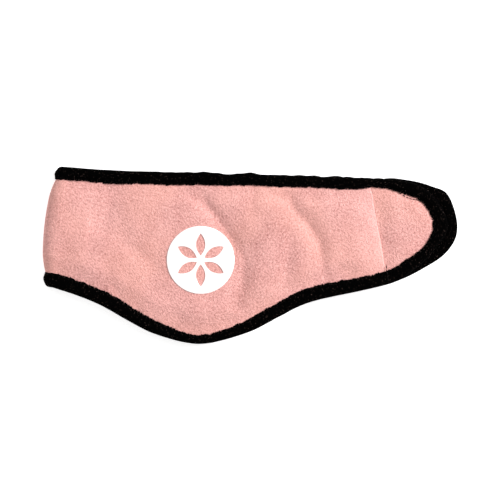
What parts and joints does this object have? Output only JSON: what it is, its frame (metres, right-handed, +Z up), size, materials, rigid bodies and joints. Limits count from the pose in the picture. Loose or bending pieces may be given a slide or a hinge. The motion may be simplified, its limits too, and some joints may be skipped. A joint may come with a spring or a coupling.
{
  "type": "spa headband",
  "caption": "Soft fleece spa headband, folded flat in half, with bound edges, widened ear covers, a printed disc and a hook-and-loop closure tab at the ends.",
  "frame": {"origin": "under the middle of the folded band, on the surface it lies on", "axes": "+X from the forehead fold to the closure tabs, +Y towards the straight top edge, +Z up, out of the front half's outer face"},
  "size_m": [0.303, 0.1298, 0.0114],
  "materials": {
    "pink_fleece": "brushed pink fleece, pebbled pile",
    "lining_fleece": "brushed pink fleece, smoother inner face",
    "black_binding": "black brushed knit tape, matte",
    "black_thread": "black polyester sewing thread",
    "hook_tape": "black nylon hook tape",
    "loop_tape": "black brushed loop tape",
    "white_print": "thin white heat-transfer film, satin"
  },
  "bodies": {
    "rear_half": {"rear_outer_fleece": "pink_fleece", "rear_lining_fleece": "lining_fleece", "rear_binding": "black_binding", "rear_binding_topstitch": "black_thread", "loop_patch": "loop_tape", "loop_patch_stitch": "black_thread", "fold_outer_fleece": "pink_fleece", "fold_lining_fleece": "lining_fleece", "fold_top_binding": "black_binding", "fold_bottom_binding": "black_binding"},
    "front_half": {"front_outer_fleece": "pink_fleece", "front_lining_fleece": "lining_fleece", "front_top_binding": "black_binding", "front_top_binding_topstitch": "black_thread", "front_bottom_binding": "black_binding", "front_bottom_binding_topstitch": "black_thread", "print_disc": "white_print"},
    "closure_tab": {"tab_outer_fleece": "pink_fleece", "tab_lining_fleece": "lining_fleece", "tab_binding": "black_binding", "tab_binding_topstitch": "black_thread", "hook_patch": "hook_tape", "hook_patch_stitch": "black_thread"}
  },
  "joints": [
    {"name": "forehead_fold", "type": "hinge", "parent": "rear_half", "child": "front_half", "pos_m": [-0.13505, 0.06441, 0.0057], "axis": [-0.1071, -0.9942, 0], "range_deg": [0, 180], "deforming": ["fold_outer_fleece", "fold_lining_fleece", "fold_top_binding", "fold_bottom_binding"]},
    {"name": "tab_flex", "type": "hinge", "parent": "front_half", "child": "closure_tab", "pos_m": [0.08725, 0.05631, 0.0116], "axis": [0.1685, -0.9857, 0], "range_deg": [0, 180]}
  ]
}
